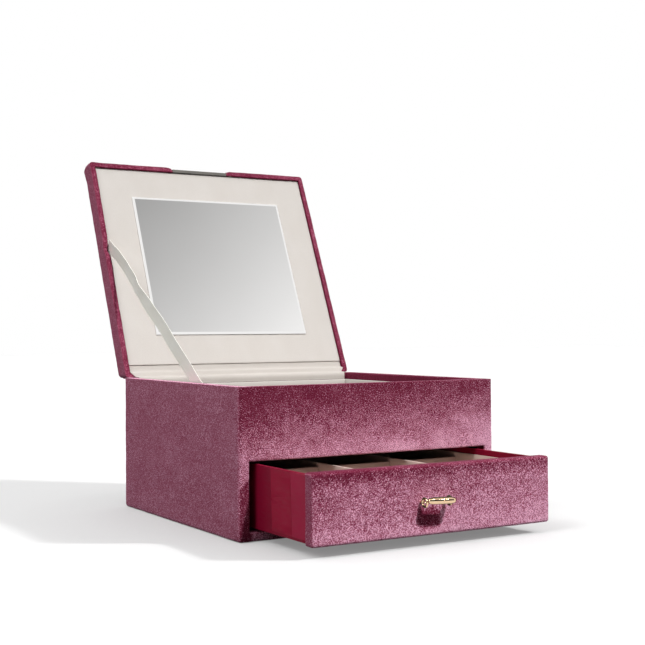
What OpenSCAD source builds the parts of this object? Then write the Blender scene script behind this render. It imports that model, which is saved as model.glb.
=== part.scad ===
// Velvet jewelry box: a lidded tray with a mirror in the lid, over one pull-out drawer.
// Origin: middle of the underside. +X is the box's right as it faces you, -Y its front, +Z up.
// It stands open, as in use: lid back on its ribbon stay, drawer part way out, bail lifted.

/* [Case] */
// Width of the case over its velvet
case_w = 260; // [220:1:300]
// Depth of the case over its velvet
case_d = 248; // [215:1:290]
// Height of the case without the lid
case_h = 126; // [118:1:150]
// Thickness of the boards of the case
board_t = 8; // [6:0.5:10]
// Thickness of the base board
base_t = 7; // [5:0.5:9]
// Thickness of the velvet covering
velvet_t = 1; // [0.6:0.1:1.4]
// Radius of the upright corners of the velvet covering
corner_r = 2.5; // [1.5:0.5:4]
// Depth of the velvet that turns down inside the case
velvet_turn = 15; // [11:1:18]
// Depth of the velvet that turns into the drawer opening
opening_turn = 9; // [6:0.5:9.5]

/* [Drawer bay] */
// Thickness of the board that closes the top of the drawer bay
shelf_t = 3; // [2:0.5:4]
// Thickness of the floor lining of the drawer bay
bay_floor_t = 3; // [2.5:0.5:4]
// Thickness of the guide board on each side of the drawer bay
guide_t = 6; // [4:0.5:6.5]
// Thickness of the lining at the back of the drawer bay
bay_back_t = 1.5; // [1:0.5:3]

/* [Drawer] */
// Height of the drawer front
drawer_front_h = 56; // [52:1:58]
// Thickness of the drawer front
drawer_front_t = 10; // [10:0.5:12]
// Gap between the drawer front and each side of its opening
drawer_side_gap = 4.5; // [3.5:0.5:5]
// Gap above and below the drawer front
drawer_gap = 0.5; // [0.4:0.1:1]
// How far the drawer stands out at rest
drawer_out = 93; // [60:1:110]
// Thickness of the side, back and inner front boards of the drawer box
drawer_board_t = 3; // [2:0.5:4]
// Thickness of the bottom board of the drawer box
drawer_bottom_t = 2; // [1.5:0.5:3]
// Height of the drawer box
drawer_box_h = 52.5; // [50:0.5:53]
// Thickness of the card lining inside the drawer
drawer_lining_t = 1.2; // [0.8:0.2:2]
// Height of the card lining above the drawer's bottom board
drawer_lining_h = 45.5; // [43:0.5:47]
// Thickness of the pad on the drawer's floor
drawer_pad_t = 1.5; // [1:0.5:2.5]
// Thickness of the dividers in the drawer and in the tray
divider_t = 2; // [1.5:0.5:3]
// Height of the two dividers that run from front to back in the drawer
long_divider_h = 43; // [40:0.5:43.5]
// Height of the divider that runs across the drawer
cross_divider_h = 39.5; // [36:0.5:39.5]

/* [Tray] */
// Thickness of the card lining of the tray
tray_lining_t = 1.8; // [1.5:0.1:2.5]
// Distance from the top of the case down to the edge of the card lining
tray_lining_drop = 7; // [5:0.5:10]
// Thickness of the pad on the tray's floor
tray_pad_t = 2; // [1:0.5:3]
// Height of the dividers in the tray
tray_divider_h = 36; // [20:1:38]
// Height of the foam bed under the ring rolls
ring_bed_h = 18; // [10:1:24]
// Diameter of one ring roll
ring_roll_d = 13; // [10:0.5:14]
// Number of ring rolls side by side
ring_roll_count = 5; // [3:1:6]

/* [Lid] */
// How far each side of the lid stands in from the side of the case
lid_inset = 1; // [0.5:0.5:2]
// Length of the lid from its hinge to its front edge
lid_l = 246; // [213:1:290]
// Thickness of the lid
lid_t = 18; // [15:0.5:22]
// Angle of the lid from closed to held open by its stay
lid_open = 114; // [95:1:120]
// Thickness of the top board of the lid
lid_board_t = 4; // [3:0.5:5]
// Width of the rim around the inside of the lid
lid_rim_w = 5.5; // [5:0.5:8]
// Depth of the lining below the rim of the lid
lid_recess = 2.2; // [2.2:0.1:3]
// Thickness of the lining panel of the lid
lid_lining_t = 2; // [1.5:0.5:3]
// Distance from the hinge to the lower edge of the lining panel
lid_lining_start = 14; // [12:0.5:18]
// Width of the mirror
mirror_w = 176; // [120:1:190]
// Height of the mirror
mirror_h = 161; // [110:1:180]
// Thickness of the mirror
mirror_t = 1.8; // [1.2:0.1:2]
// Width of the bevel around the mirror
mirror_bevel_w = 2.6; // [1.5:0.1:4]

/* [Closure] */
// Length of the steel keeper bar in the lid's front rim
keeper_l = 75; // [50:1:90]
// Width and depth of the keeper bar
keeper_t = 3.5; // [2.5:0.1:4]
// How far the keeper bar sits to the left of the middle
keeper_shift = 7; // [0:1:15]
// Diameter of one closure magnet
magnet_d = 6; // [4:0.5:6]
// Thickness of one closure magnet
magnet_t = 2; // [1:0.5:3]

/* [Hinge cloths and stay] */
// Thickness of the velvet spine and of the hinge lining
hinge_cloth_t = 0.7; // [0.5:0.1:1]
// How far the spine reaches down the back of the case
spine_drop = 28; // [15:1:50]
// How far the spine reaches up the outside of the lid
spine_rise = 26; // [15:1:50]
// Width of the ribbon stay
ribbon_w = 12; // [8:0.5:15]
// Thickness of the ribbon stay
ribbon_t = 0.5; // [0.3:0.1:0.6]
// Distance from the hinge to the stay's ends, on the lid and on the case
stay_reach = 146; // [110:1:160]
// Length of each end of the ribbon that is glued behind the lining
ribbon_tail = 13; // [10:1:20]

/* [Handle] */
// Distance between the two eyes of the handle
eye_spacing = 24; // [20:0.5:32]
// How far the handle sits to the left of the middle
handle_shift = 3.9; // [0:0.1:8]
// How far the eyes sit below the middle of the drawer front
handle_drop = 0.8; // [0:0.1:6]
// Radius of an eye, to the middle of its wire
eye_r = 3.3; // [3:0.1:4]
// Radius of the wire of an eye
eye_wire_r = 0.95; // [0.8:0.05:1.1]
// Radius of the threaded shank of an eye
shank_r = 1.2; // [0.8:0.1:1.5]
// Radius of the bail's wire where it turns in the eyes
bail_wire_r = 0.9; // [0.6:0.05:1]
// Distance from the eyes to the middle of the bail's grip
bail_reach = 7; // [7:0.5:16]
// Length of the bail's grip
grip_l = 25.2; // [24:0.1:40]
// Radius of the grip at its middle
grip_r = 2.35; // [1.8:0.05:2.4]
// Radius of the grip at its rounded ends
grip_end_r = 1.8; // [1.4:0.1:2]
// Angle that the bail stands lifted above level
bail_lift = 15; // [0:1:30]

/* [Hidden] */
$fn = 64;

// clearances
fit_gap = 0.3;          // between pieces that slide or are laid in
lid_gap = 0.4;          // under the closed lid's rim
runner_gap = 0.8;       // between the drawer box and each guide
cloth_gap = 0.15;       // between a glued cloth and the piece it lies on
ribbon_gap = 0.15;      // around the ribbon's tails in their slots
eye_gap = 0.15;         // between an eye's wire and the drawer front
bail_gap = 0.1;         // between the bail and the wire of an eye
cut_over = 1;           // how far a cut runs past a face

// case
front_y = -case_d/2;
back_y = case_d/2;
wall_t = board_t + 2*velvet_t;
inner_w = case_w - 2*wall_t;
inner_front_y = front_y + wall_t;
inner_back_y = back_y - wall_t;
board_w = case_w - 2*velvet_t;
board_front_y = front_y + velvet_t;
board_back_y = back_y - velvet_t;
bay_w = case_w - 2*(velvet_t + board_t);
board_inner_front_y = board_front_y + board_t;
board_inner_back_y = board_back_y - board_t;
board_top = case_h - velvet_t;

// drawer opening
opening_bottom = base_t + velvet_t;
opening_top = opening_bottom + drawer_front_h + 2*drawer_gap;
panel_bottom = opening_top + velvet_t;
shelf_top = panel_bottom + shelf_t;

// bay
stop_y = front_y + drawer_front_t + drawer_gap;
bay_floor_top = base_t + bay_floor_t;
guide_inner_x = bay_w/2 - guide_t;

// drawer: its front face is the driving place, a stand-off in front of the case
drawer_front_w = inner_w - 2*drawer_side_gap;
face_y = front_y - drawer_out;
box_front_y = face_y + drawer_front_t;
front_bottom = opening_bottom + drawer_gap;
front_mid_z = front_bottom + drawer_front_h/2;
box_w = 2*(guide_inner_x - runner_gap);
box_l = board_inner_back_y - bay_back_t - fit_gap - (front_y + drawer_front_t);
box_back_y = box_front_y + box_l;
box_bottom = bay_floor_top + fit_gap;
box_floor = box_bottom + drawer_bottom_t;
box_top = box_bottom + drawer_box_h;
box_inner_w = box_w - 2*drawer_board_t;
box_inner_front_y = box_front_y + drawer_board_t;
box_inner_back_y = box_back_y - drawer_board_t;
lined_w = box_inner_w - 2*drawer_lining_t;
lined_front_y = box_inner_front_y + drawer_lining_t;
lined_back_y = box_inner_back_y - drawer_lining_t;
lined_l = lined_back_y - lined_front_y;
pad_top = box_floor + drawer_pad_t;
compartments_across = 3;
divider_x = (lined_w + divider_t)/compartments_across/2;
cross_divider_y = (lined_front_y + lined_back_y)/2;
lap_z = pad_top + cross_divider_h/2;

// tray
lining_top = case_h - tray_lining_drop;
tray_w = inner_w - 2*tray_lining_t;
tray_front_y = inner_front_y + tray_lining_t;
tray_back_y = inner_back_y - tray_lining_t;
tray_floor = shelf_top + tray_pad_t;
ring_pitch = ring_roll_d + fit_gap;
ring_zone = ring_roll_count*ring_pitch + fit_gap;
ring_divider_y = tray_front_y + ring_zone;
tray_divider_x = (tray_w + divider_t)/compartments_across/2;

// lid, laid out closed: its hinge edge at y = 0, its rim down at z = 0, its front at y = -lid_l
hinge_z = case_h + lid_gap;
lid_w = case_w - 2*lid_inset;
rail_t = lid_rim_w - 2*velvet_t;
rail_h = lid_t - lid_board_t - 2*velvet_t;
lid_inner_w = lid_w - 2*lid_rim_w;
rail_inner_w = lid_w - 2*(velvet_t + rail_t);
lid_turn = lid_recess + lid_lining_t + 2*velvet_t;
filler_bottom = lid_recess + lid_lining_t;
filler_top = velvet_t + rail_h;
lining_front = lid_l - lid_rim_w - fit_gap;
lining_l = lining_front - lid_lining_start;
lining_mid = (lining_front + lid_lining_start)/2;
mirror_bevel_t = mirror_t/2;
keeper_bottom = lid_gap;
keeper_back = lid_l - lid_rim_w + fit_gap;
notch_h = keeper_bottom + keeper_t + fit_gap;

// ribbon stay, in the plane of the case's left wall
case_tie = [back_y - stay_reach, hinge_z];
lid_tie = [back_y - stay_reach*cos(lid_open), hinge_z + stay_reach*sin(lid_open)];
stay_l = norm(lid_tie - case_tie);
stay_rise = atan2(lid_tie[1] - case_tie[1], lid_tie[0] - case_tie[0]);
case_tie_x = -inner_w/2 + ribbon_gap + ribbon_t/2;
lid_tie_x = -lid_inner_w/2 + fit_gap + ribbon_gap + ribbon_t/2;
stay_lean = asin((case_tie_x - lid_tie_x)/stay_l);

// handle
eye_standoff = eye_r + eye_wire_r + eye_gap;
eye_y = face_y - eye_standoff;
eye_z = front_mid_z - handle_drop;
shank_l = eye_gap + eye_wire_r + drawer_front_t + drawer_board_t + drawer_lining_t + 1;
shank_hole_r = shank_r + 0.2;
nut_t = 1.6;
nut_r = 2.7;
nut_bore_r = shank_r + 0.05;
nut_hole_r = nut_r + 0.6;
arm_x = eye_spacing/2 - eye_wire_r - bail_gap - bail_wire_r;
pin_l = 2*eye_wire_r + bail_gap + bail_wire_r + 0.5;

// a block between two corners
module block(low, high) {
    translate(low) cube(high - low);
}

// a flat outline of points [y, z] carried along X
module along_x(points, width, middle = 0) {
    translate([middle - width/2, 0, 0])
        rotate([90, 0, 90]) linear_extrude(width) polygon(points);
}

// an upright block with round corners
module round_block(w, d, h, r) {
    linear_extrude(h) {
        square([w - 2*r, d], center = true);
        square([w, d - 2*r], center = true);
        for (x = [-1, 1])
            for (y = [-1, 1])
                translate([x*(w/2 - r), y*(d/2 - r)]) circle(r);
    }
}

// a closed lid's piece, turned up to where the stay holds it
module raised() {
    translate([0, back_y, hinge_z]) rotate([-lid_open, 0, 0]) children();
}

// a place on the raised lid, as [y, z]: s along the lid, h above the plane of its rim
function on_lid(s, h) = [
    back_y - s*cos(lid_open) + h*sin(lid_open),
    hinge_z + s*sin(lid_open) + h*cos(lid_open)];

// the outline of a cloth of thickness t along a path of [y, z] points
function cloth_outline(path, t) = concat(
    [for (i = [0:len(path) - 1]) path[i] + cloth_side(path, i)*t/2],
    [for (i = [len(path) - 1:-1:0]) path[i] - cloth_side(path, i)*t/2]);
function cloth_side(path, i) =
    let (n = len(path) - 1,
        before = left_of(path[max(i - 1, 0)], path[max(i, 1)]),
        after = left_of(path[min(i, n - 1)], path[min(i + 1, n)]))
    (before + after)/(1 + before*after);
function left_of(from, to) =
    let (run = (to - from)/norm(to - from)) [-run[1], run[0]];

// ---- case ----

module base_board() {
    color("dimgray")
        block([-board_w/2, board_front_y, 0], [board_w/2, board_back_y, base_t]);
}

module side_wall(side) {
    color("rosybrown")
        translate([side*(board_w/2 - board_t/2), 0, 0])
            block([-board_t/2, board_front_y, base_t], [board_t/2, board_back_y, board_top]);
}

module left_wall() { side_wall(-1); }

module right_wall() { side_wall(1); }

module back_wall() {
    color("rosybrown")
        block([-bay_w/2, board_inner_back_y, base_t], [bay_w/2, board_back_y, board_top]);
}

module magnet_places() {
    for (side = [-1, 1])
        translate([-keeper_shift + side*keeper_l/3, board_front_y + board_t/2,
            board_top - magnet_t])
            children();
}

module upper_front_panel() {
    color("rosybrown") difference() {
        block([-bay_w/2, board_front_y, panel_bottom], [bay_w/2, board_inner_front_y, board_top]);
        magnet_places()
            translate([0, 0, -fit_gap/2])
                cylinder(r = magnet_d/2 + fit_gap/2, h = magnet_t + cut_over);
    }
}

module closure_magnets() {
    color("silver") magnet_places() cylinder(d = magnet_d, h = magnet_t);
}

// the outer covering in one piece: over the walls, down inside the top and into the drawer opening
module case_velvet() {
    color("palevioletred") difference() {
        round_block(case_w, case_d, case_h, corner_r);
        difference() {
            block([-board_w/2, board_front_y, -cut_over], [board_w/2, board_back_y, board_top]);
            // the turned edge inside the top of the case
            difference() {
                block([-bay_w/2, board_inner_front_y, case_h - velvet_turn],
                    [bay_w/2, board_inner_back_y, case_h]);
                block([-inner_w/2, inner_front_y, 0], [inner_w/2, inner_back_y, case_h]);
            }
            // the turned edge inside the drawer opening
            block([-bay_w/2, front_y, base_t], [bay_w/2, front_y + opening_turn, panel_bottom]);
        }
        block([-inner_w/2, inner_front_y, board_top - cut_over],
            [inner_w/2, inner_back_y, case_h + cut_over]);
        block([-inner_w/2, front_y - cut_over, opening_bottom],
            [inner_w/2, front_y + opening_turn + cut_over, opening_top]);
    }
}

// ---- drawer bay ----

module bay_floor() {
    color("black")
        block([-bay_w/2, stop_y, base_t], [bay_w/2, board_inner_back_y, bay_floor_top]);
}

module bay_guide(side) {
    color("black")
        translate([side*(guide_inner_x + guide_t/2), 0, 0])
            block([-guide_t/2, stop_y, bay_floor_top],
                [guide_t/2, board_inner_back_y, panel_bottom]);
}

module bay_left_guide() { bay_guide(-1); }

module bay_right_guide() { bay_guide(1); }

module bay_back_lining() {
    color("black")
        block([-guide_inner_x, board_inner_back_y - bay_back_t, bay_floor_top],
            [guide_inner_x, board_inner_back_y, panel_bottom]);
}

module middle_shelf() {
    color("black")
        block([-bay_w/2, board_inner_front_y, panel_bottom],
            [bay_w/2, board_inner_back_y, shelf_top]);
}

// ---- tray ----

module tray_floor_pad() {
    color("linen")
        block([-tray_w/2, tray_front_y, shelf_top], [tray_w/2, tray_back_y, tray_floor]);
}

module tray_side_lining(side) {
    block([side*(inner_w/2 - tray_lining_t/2) - tray_lining_t/2, inner_front_y, shelf_top],
        [side*(inner_w/2 - tray_lining_t/2) + tray_lining_t/2, inner_back_y, lining_top]);
}

module tray_left_lining() {
    color("linen") difference() {
        tray_side_lining(-1);
        ribbon_strip(ribbon_gap);
    }
}

module tray_right_lining() {
    color("linen") tray_side_lining(1);
}

module tray_front_lining() {
    color("linen")
        block([-tray_w/2, inner_front_y, shelf_top], [tray_w/2, tray_front_y, lining_top]);
}

module tray_back_lining() {
    color("linen")
        block([-tray_w/2, tray_back_y, shelf_top], [tray_w/2, inner_back_y, lining_top]);
}

module tray_cross_divider() {
    color("linen")
        block([-tray_w/2, ring_divider_y, tray_floor],
            [tray_w/2, ring_divider_y + divider_t, tray_floor + tray_divider_h]);
}

module tray_divider(side) {
    color("linen")
        block([side*tray_divider_x - divider_t/2, ring_divider_y + divider_t, tray_floor],
            [side*tray_divider_x + divider_t/2, tray_back_y, tray_floor + tray_divider_h]);
}

module tray_left_divider() { tray_divider(-1); }

module tray_right_divider() { tray_divider(1); }

module ring_bed() {
    color("linen")
        block([-tray_w/2 + fit_gap, tray_front_y + fit_gap, tray_floor],
            [tray_w/2 - fit_gap, ring_divider_y - fit_gap, tray_floor + ring_bed_h]);
}

module ring_rolls() {
    color("linen")
        for (i = [0:ring_roll_count - 1])
            translate([0, tray_front_y + fit_gap + ring_pitch*(i + 0.5),
                tray_floor + ring_bed_h + fit_gap + ring_roll_d/2])
                rotate([0, 90, 0])
                    cylinder(d = ring_roll_d, h = tray_w - 4*fit_gap, center = true);
}

// ---- lid ----

module lid_board() {
    color("rosybrown") raised()
        block([-lid_w/2 + velvet_t, -lid_l + velvet_t, filler_top],
            [lid_w/2 - velvet_t, -velvet_t, lid_t - velvet_t]);
}

module lid_side_rail(side) {
    color("rosybrown") raised()
        translate([side*(lid_w/2 - velvet_t - rail_t/2), 0, 0])
            block([-rail_t/2, -lid_l + velvet_t, velvet_t], [rail_t/2, -velvet_t, filler_top]);
}

module lid_left_rail() { lid_side_rail(-1); }

module lid_right_rail() { lid_side_rail(1); }

// the place cut out of the front rim for the keeper bar
module keeper_notch() {
    block([-keeper_shift - keeper_l/2 - fit_gap, -lid_l - cut_over, -cut_over],
        [-keeper_shift + keeper_l/2 + fit_gap, -lid_l + lid_rim_w + cut_over, notch_h]);
}

module lid_front_rail() {
    color("rosybrown") raised() difference() {
        block([-rail_inner_w/2, -lid_l + velvet_t, velvet_t],
            [rail_inner_w/2, -lid_l + velvet_t + rail_t, filler_top]);
        keeper_notch();
    }
}

module lid_back_rail() {
    color("rosybrown") raised()
        block([-rail_inner_w/2, -velvet_t - rail_t, velvet_t],
            [rail_inner_w/2, -velvet_t, filler_top]);
}

module keeper_bar() {
    color("dimgray") raised()
        block([-keeper_shift - keeper_l/2, -keeper_back - keeper_t + fit_gap, keeper_bottom],
            [-keeper_shift + keeper_l/2, -keeper_back + fit_gap, keeper_bottom + keeper_t]);
}

// foam that carries the lining panel
module lid_filler() {
    color("whitesmoke") difference() {
        raised()
            block([-lid_inner_w/2 + fit_gap, -lining_front, filler_bottom],
                [lid_inner_w/2 - fit_gap, -lid_rim_w - fit_gap, filler_top]);
        ribbon_strip(ribbon_gap);
    }
}

module lid_lining() {
    color("linen") difference() {
        raised()
            block([-lid_inner_w/2 + cloth_gap, -lining_front, lid_recess],
                [lid_inner_w/2 - cloth_gap, -lid_lining_start, filler_bottom]);
        ribbon_strip(ribbon_gap);
    }
}

// a bevelled bar of width w and thickness t, its wide face up, carried l along X
module bevelled_bar(w, l, t, bevel_w, bevel_t) {
    rotate([90, 0, 90]) translate([0, 0, -l/2]) linear_extrude(l)
        polygon([[-w/2, t], [w/2, t], [w/2, bevel_t], [w/2 - bevel_w, 0],
            [-w/2 + bevel_w, 0], [-w/2, bevel_t]]);
}

module mirror() {
    color("lightsteelblue") raised()
        translate([0, -lining_mid, lid_recess - mirror_t]) intersection() {
            bevelled_bar(mirror_h, mirror_w, mirror_t, mirror_bevel_w, mirror_bevel_t);
            rotate([0, 0, 90])
                bevelled_bar(mirror_w, mirror_h, mirror_t, mirror_bevel_w, mirror_bevel_t);
        }
}

// the lid's covering in one piece: over the outside, around the rim and in to the lining
module lid_velvet() {
    color("palevioletred") raised() difference() {
        translate([0, -lid_l/2, 0]) round_block(lid_w, lid_l, lid_t, corner_r);
        difference() {
            block([-lid_w/2 + velvet_t, -lid_l + velvet_t, velvet_t],
                [lid_w/2 - velvet_t, -velvet_t, lid_t - velvet_t]);
            // the turned edge inside the rim
            difference() {
                block([-rail_inner_w/2, -lid_l + velvet_t + rail_t, velvet_t],
                    [rail_inner_w/2, -velvet_t - rail_t, lid_turn]);
                block([-lid_inner_w/2, -lid_l + lid_rim_w, 0],
                    [lid_inner_w/2, -lid_rim_w, lid_t]);
            }
        }
        block([-lid_inner_w/2, -lid_l + lid_rim_w, -cut_over],
            [lid_inner_w/2, -lid_rim_w, velvet_t + cut_over]);
        keeper_notch();
    }
}

// ---- hinge cloths and stay ----

// velvet from the back of the case, round the hinge and onto the outside of the lid
module hinge_spine() {
    lie = cloth_gap + hinge_cloth_t/2;
    path = [
        [back_y + lie, case_h - spine_drop],
        [back_y + lie, hinge_z - lie*tan(lid_open/2)],
        on_lid(-lie, lid_t + lie),
        on_lid(spine_rise, lid_t + lie)];
    color("palevioletred")
        along_x(cloth_outline(path, hinge_cloth_t), lid_w - 2*corner_r);
}

// lining cloth from under the lid's lining panel, over the back wall and down to the tray's lining
module hinge_lining() {
    lie = cloth_gap + hinge_cloth_t/2;
    path = [
        on_lid(lid_lining_start - fit_gap, filler_bottom - lie),
        on_lid(lid_rim_w + 3*fit_gap, filler_bottom - lie),
        on_lid(lid_rim_w + lie, -lie),
        on_lid(2*lie, -lie - lid_gap),
        [back_y - 3*lie, case_h + lie],
        [inner_back_y - lie, case_h + lie],
        [inner_back_y - lie, lining_top + fit_gap]];
    color("linen")
        along_x(cloth_outline(path, hinge_cloth_t), tray_w - 4*fit_gap);
}

// the taut ribbon, grown by a gap on every face where a slot is cut for it
module ribbon_strip(grow = 0) {
    translate([case_tie_x, case_tie[0], case_tie[1]])
        rotate([stay_rise, 0, 0]) rotate([0, 0, stay_lean])
            block([-ribbon_t/2 - grow, -ribbon_tail - grow, -ribbon_w/2 - grow],
                [ribbon_t/2 + grow, stay_l + ribbon_tail + grow, ribbon_w/2 + grow]);
}

module ribbon_stay() {
    color("lightgray") ribbon_strip();
}

// ---- drawer ----

module eye_places() {
    for (side = [-1, 1])
        translate([side*eye_spacing/2 - handle_shift, 0, eye_z]) children();
}

// a hole along Y through whatever carries an eye's shank
module shank_hole(from_y, to_y, r) {
    eye_places() translate([0, from_y - cut_over, 0])
        rotate([-90, 0, 0]) cylinder(r = r, h = to_y - from_y + 2*cut_over);
}

module drawer_front_board() {
    color("rosybrown") difference() {
        block([-drawer_front_w/2 + velvet_t, face_y + velvet_t, front_bottom + velvet_t],
            [drawer_front_w/2 - velvet_t, box_front_y, front_bottom + drawer_front_h - velvet_t]);
        shank_hole(face_y, box_front_y, shank_hole_r);
    }
}

module drawer_front_velvet() {
    color("palevioletred") difference() {
        block([-drawer_front_w/2, face_y, front_bottom],
            [drawer_front_w/2, box_front_y, front_bottom + drawer_front_h]);
        block([-drawer_front_w/2 + velvet_t, face_y + velvet_t, front_bottom + velvet_t],
            [drawer_front_w/2 - velvet_t, box_front_y + cut_over,
                front_bottom + drawer_front_h - velvet_t]);
        shank_hole(face_y, box_front_y, shank_hole_r);
    }
}

module drawer_bottom() {
    color("crimson")
        block([-box_w/2, box_front_y, box_bottom], [box_w/2, box_back_y, box_floor]);
}

module drawer_side(side) {
    color("crimson")
        translate([side*(box_w/2 - drawer_board_t/2), 0, 0])
            block([-drawer_board_t/2, box_front_y, box_floor],
                [drawer_board_t/2, box_back_y, box_top]);
}

module drawer_left_side() { drawer_side(-1); }

module drawer_right_side() { drawer_side(1); }

module drawer_inner_front() {
    color("crimson") difference() {
        block([-box_inner_w/2, box_front_y, box_floor],
            [box_inner_w/2, box_inner_front_y, box_top]);
        shank_hole(box_front_y, box_inner_front_y, shank_hole_r);
    }
}

module drawer_back() {
    color("crimson")
        block([-box_inner_w/2, box_inner_back_y, box_floor],
            [box_inner_w/2, box_back_y, box_top]);
}

module drawer_side_lining(side) {
    color("linen")
        translate([side*(box_inner_w/2 - drawer_lining_t/2), 0, 0])
            block([-drawer_lining_t/2, box_inner_front_y, box_floor],
                [drawer_lining_t/2, box_inner_back_y, box_floor + drawer_lining_h]);
}

module drawer_left_lining() { drawer_side_lining(-1); }

module drawer_right_lining() { drawer_side_lining(1); }

module drawer_front_lining() {
    color("linen") difference() {
        block([-lined_w/2, box_inner_front_y, box_floor],
            [lined_w/2, lined_front_y, box_floor + drawer_lining_h]);
        shank_hole(box_inner_front_y, lined_front_y, nut_hole_r);
    }
}

module drawer_back_lining() {
    color("linen")
        block([-lined_w/2, lined_back_y, box_floor],
            [lined_w/2, box_inner_back_y, box_floor + drawer_lining_h]);
}

module drawer_floor_pad() {
    color("linen")
        block([-lined_w/2, lined_front_y, box_floor], [lined_w/2, lined_back_y, pad_top]);
}

// a front-to-back divider, slotted from its top for the divider that crosses it
module drawer_long_divider(side) {
    color("linen") translate([side*divider_x, 0, 0]) difference() {
        block([-divider_t/2, lined_front_y, pad_top],
            [divider_t/2, lined_back_y, pad_top + long_divider_h]);
        block([-divider_t, cross_divider_y - divider_t/2 - fit_gap/2, lap_z],
            [divider_t, cross_divider_y + divider_t/2 + fit_gap/2,
                pad_top + long_divider_h + cut_over]);
    }
}

module drawer_left_divider() { drawer_long_divider(-1); }

module drawer_right_divider() { drawer_long_divider(1); }

// the divider across the drawer, slotted from below where it laps over the other two
module drawer_cross_divider() {
    color("linen") difference() {
        block([-lined_w/2, cross_divider_y - divider_t/2, pad_top],
            [lined_w/2, cross_divider_y + divider_t/2, pad_top + cross_divider_h]);
        for (side = [-1, 1])
            block([side*divider_x - divider_t/2 - fit_gap/2, cross_divider_y - divider_t,
                pad_top - cut_over],
                [side*divider_x + divider_t/2 + fit_gap/2, cross_divider_y + divider_t, lap_z]);
    }
}

// ---- handle ----

// one eye: a ring of wire on a threaded shank that runs back through the drawer front
module bail_eye() {
    translate([0, eye_y, 0]) {
        rotate([0, 90, 0]) rotate_extrude() translate([eye_r, 0]) circle(eye_wire_r);
        translate([0, eye_r, 0]) rotate([-90, 0, 0]) cylinder(r = shank_r, h = shank_l);
    }
}

module bail_eyes() {
    color("goldenrod") eye_places() bail_eye();
}

module eye_nuts() {
    color("goldenrod")
        eye_places() translate([0, box_inner_front_y, 0]) rotate([-90, 0, 0]) difference() {
            cylinder(r = nut_r, h = nut_t, $fn = 6);
            translate([0, 0, -cut_over]) cylinder(r = nut_bore_r, h = nut_t + 2*cut_over);
        }
}

// one side of the bail: its wire runs back from the grip and turns outward through the eye
module bail_arm(side) {
    translate([side*arm_x, 0, 0]) {
        sphere(bail_wire_r);
        rotate([90, 0, 0]) cylinder(r = bail_wire_r, h = bail_reach);
        rotate([0, side*90, 0]) cylinder(r = bail_wire_r, h = pin_l);
    }
}

// the grip: a bar that swells from its rounded ends to its middle
module bail_grip() {
    half_l = grip_l/2 - grip_end_r;
    swell_l = half_l/2;
    for (side = [-1, 1])
        translate([0, -bail_reach, 0]) rotate([0, side*90, 0]) {
            cylinder(r = grip_r, h = half_l - swell_l);
            translate([0, 0, half_l - swell_l])
                cylinder(r1 = grip_r, r2 = grip_end_r, h = swell_l);
            translate([0, 0, half_l]) sphere(grip_end_r);
        }
}

module bail() {
    color("goldenrod")
        translate([-handle_shift, eye_y, eye_z]) rotate([-bail_lift, 0, 0]) {
            bail_arm(-1);
            bail_arm(1);
            bail_grip();
        }
}

base_board();
left_wall();
right_wall();
back_wall();
upper_front_panel();
case_velvet();
bay_floor();
bay_left_guide();
bay_right_guide();
bay_back_lining();
middle_shelf();
tray_floor_pad();
tray_left_lining();
tray_right_lining();
tray_front_lining();
tray_back_lining();
tray_cross_divider();
tray_left_divider();
tray_right_divider();
ring_bed();
ring_rolls();
closure_magnets();
lid_board();
lid_left_rail();
lid_right_rail();
lid_front_rail();
lid_back_rail();
lid_filler();
lid_lining();
mirror();
keeper_bar();
lid_velvet();
hinge_spine();
hinge_lining();
ribbon_stay();
drawer_front_board();
drawer_front_velvet();
drawer_inner_front();
drawer_left_side();
drawer_right_side();
drawer_back();
drawer_bottom();
drawer_left_lining();
drawer_right_lining();
drawer_front_lining();
drawer_back_lining();
drawer_floor_pad();
drawer_left_divider();
drawer_right_divider();
drawer_cross_divider();
bail_eyes();
eye_nuts();
bail();
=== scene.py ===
"""Looks of the velvet jewelry box: velvet coverings, suede linings, mirror, ribbon stay and gilt handle.

Everything is in metres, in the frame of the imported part: +X to the box's right, -Y its front, +Z up.
"""

import math

import bmesh
import bpy
from mathutils import Matrix, Vector


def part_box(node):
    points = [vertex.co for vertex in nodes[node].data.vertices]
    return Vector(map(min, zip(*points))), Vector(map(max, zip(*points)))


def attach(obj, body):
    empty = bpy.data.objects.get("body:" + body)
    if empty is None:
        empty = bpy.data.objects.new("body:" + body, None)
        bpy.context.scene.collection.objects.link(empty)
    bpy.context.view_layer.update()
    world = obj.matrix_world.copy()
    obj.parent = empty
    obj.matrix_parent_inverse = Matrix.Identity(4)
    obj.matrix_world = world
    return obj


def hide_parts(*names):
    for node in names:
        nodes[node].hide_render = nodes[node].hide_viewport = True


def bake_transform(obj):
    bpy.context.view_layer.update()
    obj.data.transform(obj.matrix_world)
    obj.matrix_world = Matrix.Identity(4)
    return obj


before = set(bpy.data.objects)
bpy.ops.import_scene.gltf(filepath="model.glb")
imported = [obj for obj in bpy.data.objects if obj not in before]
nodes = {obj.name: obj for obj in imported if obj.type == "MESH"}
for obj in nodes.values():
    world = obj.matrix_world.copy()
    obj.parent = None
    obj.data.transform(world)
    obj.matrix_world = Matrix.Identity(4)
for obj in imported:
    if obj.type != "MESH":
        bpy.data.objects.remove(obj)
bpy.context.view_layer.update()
MM = 0.001


# ---------------------------------------------------------------- sizes taken from the part

case_low, case_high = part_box("case_velvet")
base_low, base_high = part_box("base_board")
front_low, front_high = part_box("drawer_front_velvet")
eyes_low, eyes_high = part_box("bail_eyes")
keeper_low, keeper_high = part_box("keeper_bar")

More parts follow.
